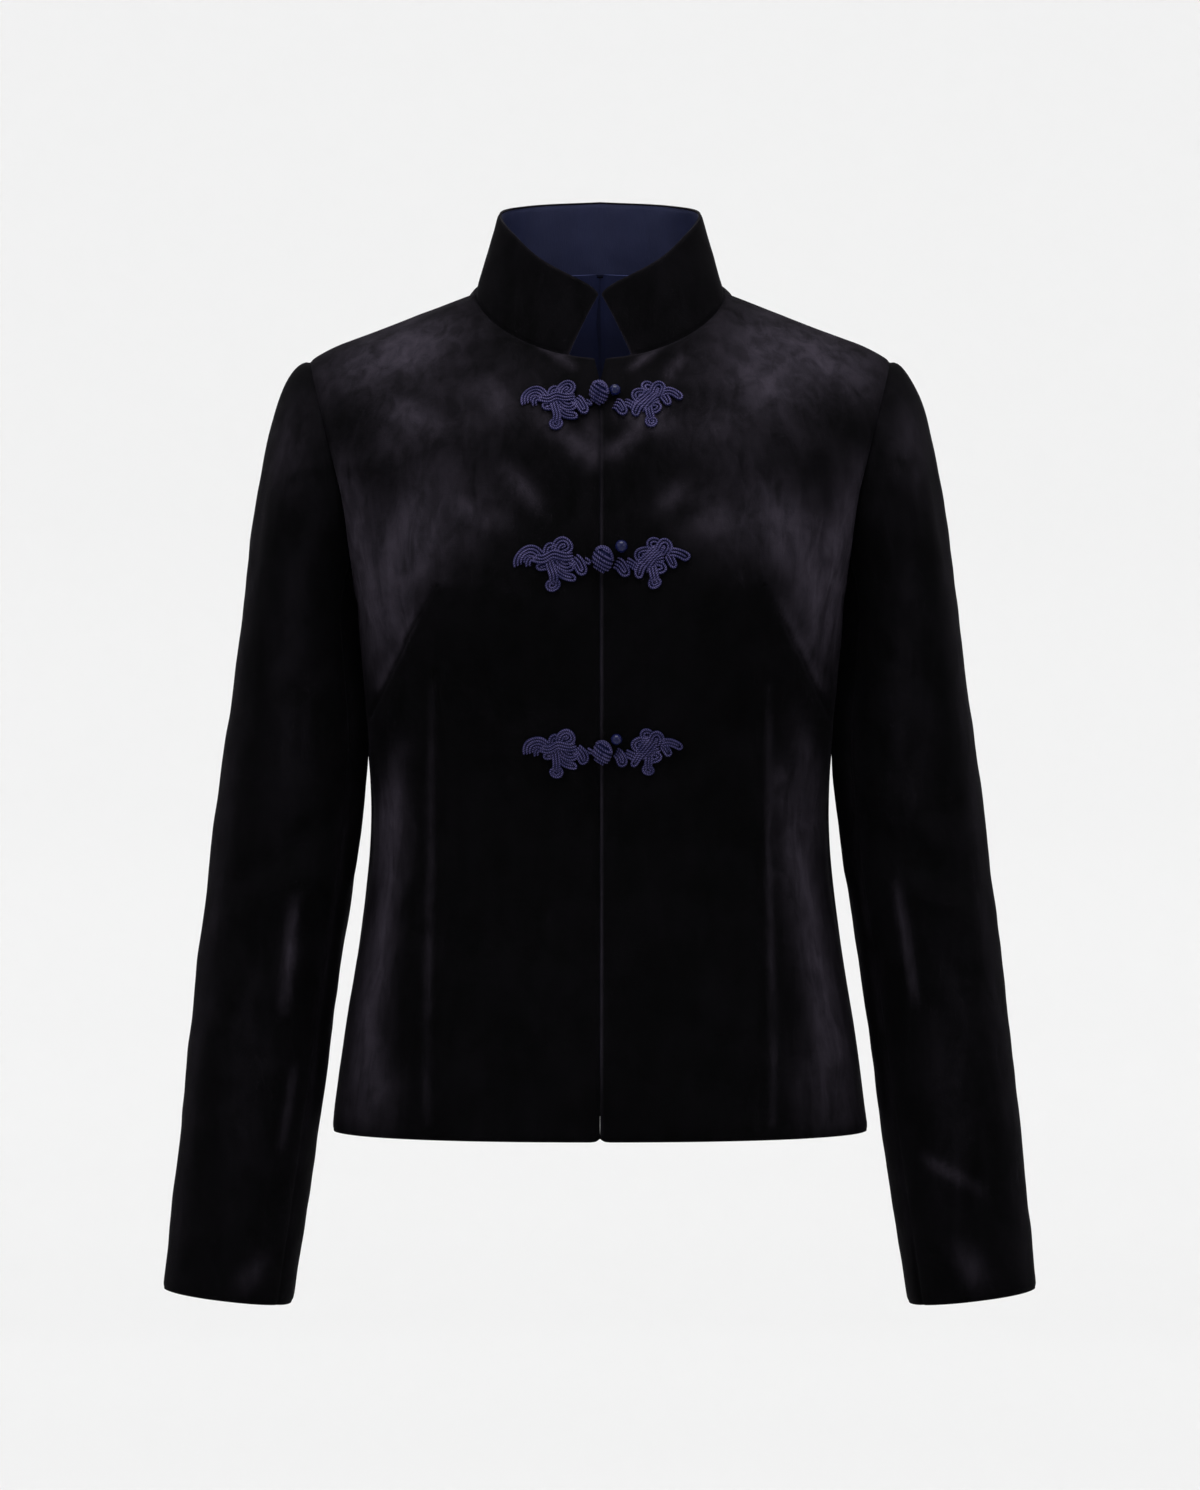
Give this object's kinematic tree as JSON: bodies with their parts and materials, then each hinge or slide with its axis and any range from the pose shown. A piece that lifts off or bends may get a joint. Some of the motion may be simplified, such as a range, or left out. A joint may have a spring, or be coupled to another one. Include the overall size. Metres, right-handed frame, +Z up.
{
  "type": "women's velvet mao jacket",
  "caption": "Fitted long-sleeved velvet jacket with a stand collar, side and waist darts and knotted cord fastenings down an edge-to-edge front, in its hollow worn shape.",
  "frame": {"origin": "midway between the two points where the shoulder seams meet the collar, where the jacket hangs from the wearer's shoulders", "axes": "+X to the wearer's left, -Y out of the front, +Z up"},
  "size_m": [0.5766, 0.2489, 0.736],
  "materials": {
    "velvet": "black velvet pile with a soft grey-violet sheen",
    "satin": "navy lining satin",
    "braid": "ribbed navy rayon cord with lavender ridges",
    "gloss": "polished dark navy bead"
  },
  "bodies": {
    "root": {"front_left": "velvet", "front_right": "velvet", "back": "velvet", "back_lining_left": "satin", "back_lining_right": "satin", "sleeve_top_left": "velvet", "sleeve_top_right": "velvet", "sleeve_under_left": "velvet", "sleeve_under_right": "velvet", "collar": "velvet", "collar_lining": "satin", "frog_top_left": "braid", "frog_top_right": "braid", "knot_top": "braid", "bead_top": "gloss", "frog_middle_left": "braid", "frog_middle_right": "braid", "knot_middle": "braid", "bead_middle": "gloss", "frog_bottom_left": "braid", "frog_bottom_right": "braid", "knot_bottom": "braid", "bead_bottom": "gloss"}
  },
  "joints": []
}
